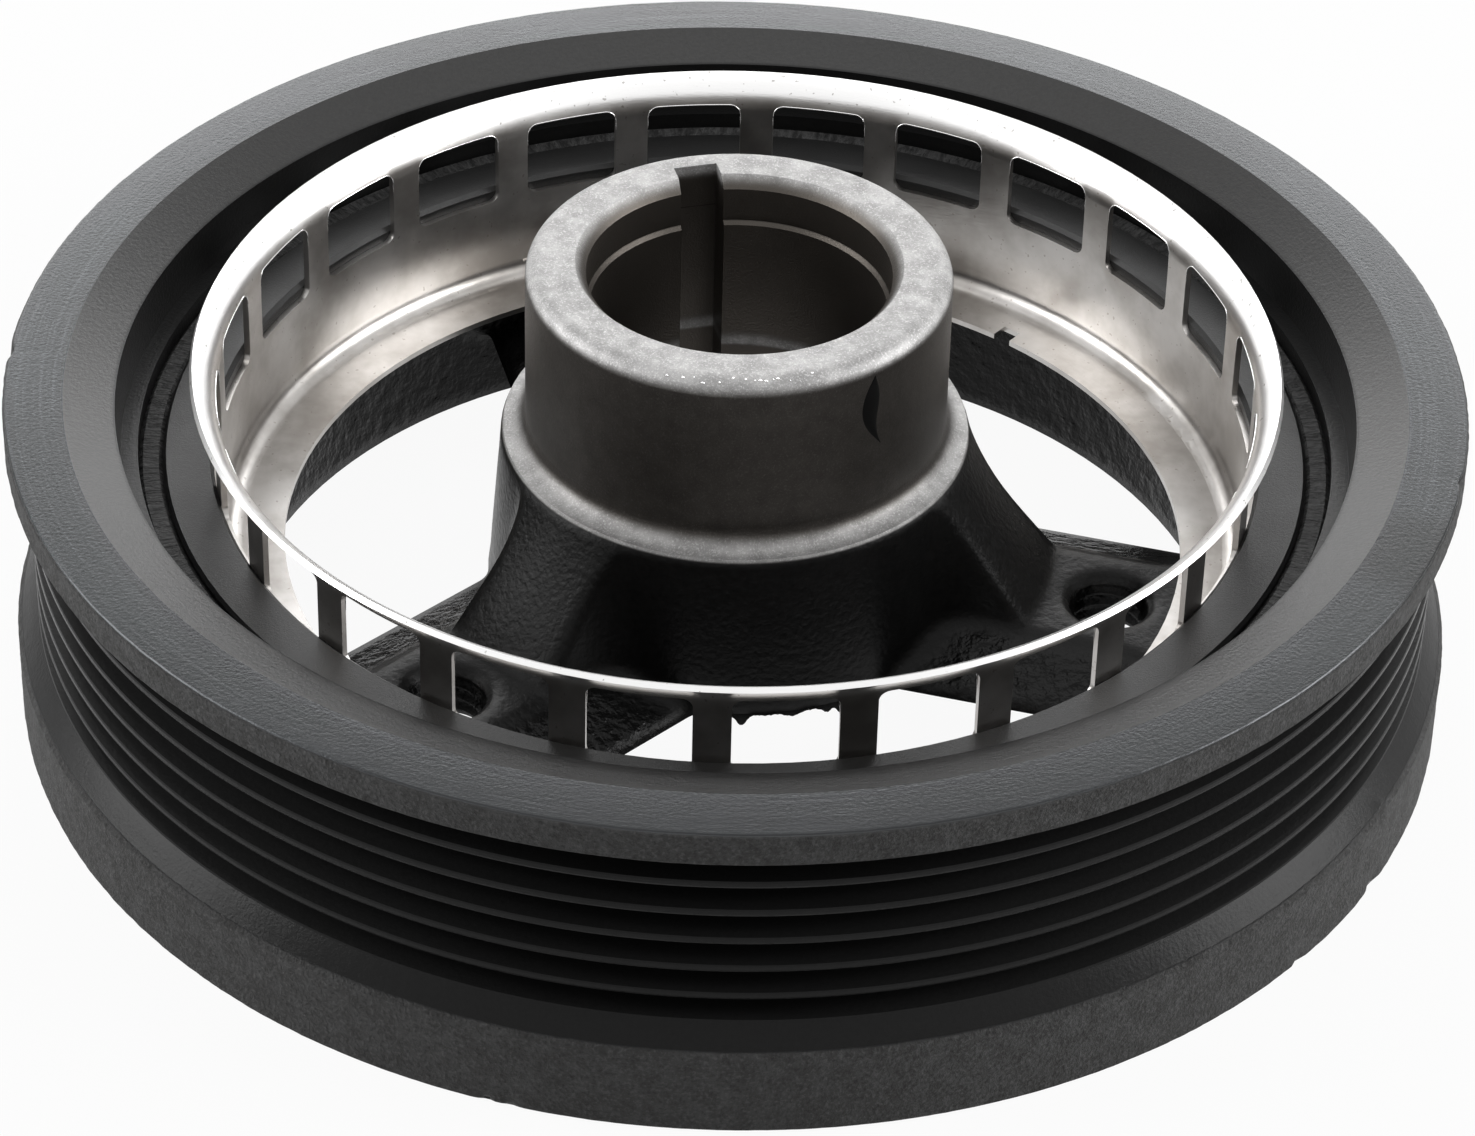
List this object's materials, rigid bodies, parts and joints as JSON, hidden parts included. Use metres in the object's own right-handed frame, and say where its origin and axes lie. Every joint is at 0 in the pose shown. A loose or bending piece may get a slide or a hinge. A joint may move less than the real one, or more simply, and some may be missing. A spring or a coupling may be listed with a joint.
{
  "type": "harmonic balancer",
  "caption": "Crankshaft harmonic balancer: grooved belt ring bonded by rubber to a spoked hub with a long keyed sleeve and a windowed timing ring.",
  "frame": {"origin": "centre of the crank bore's axis at the level the belt ring stands on", "axes": "+Z along the crank bore towards the engine end of the sleeve; the keyway lies 105.2 degrees round from +X"},
  "size_m": [0.157, 0.157, 0.0523],
  "materials": {
    "pulley_iron": "machined face, as-cast flanks",
    "rubber": "matt moulded",
    "hub_iron": "black casting with a machined sleeve and rim",
    "reluctor_steel": "bright stamped sheet"
  },
  "bodies": {
    "root": {"pulley_ring": "pulley_iron", "rubber_ring": "rubber", "hub": "hub_iron", "reluctor_ring": "reluctor_steel"}
  },
  "joints": []
}
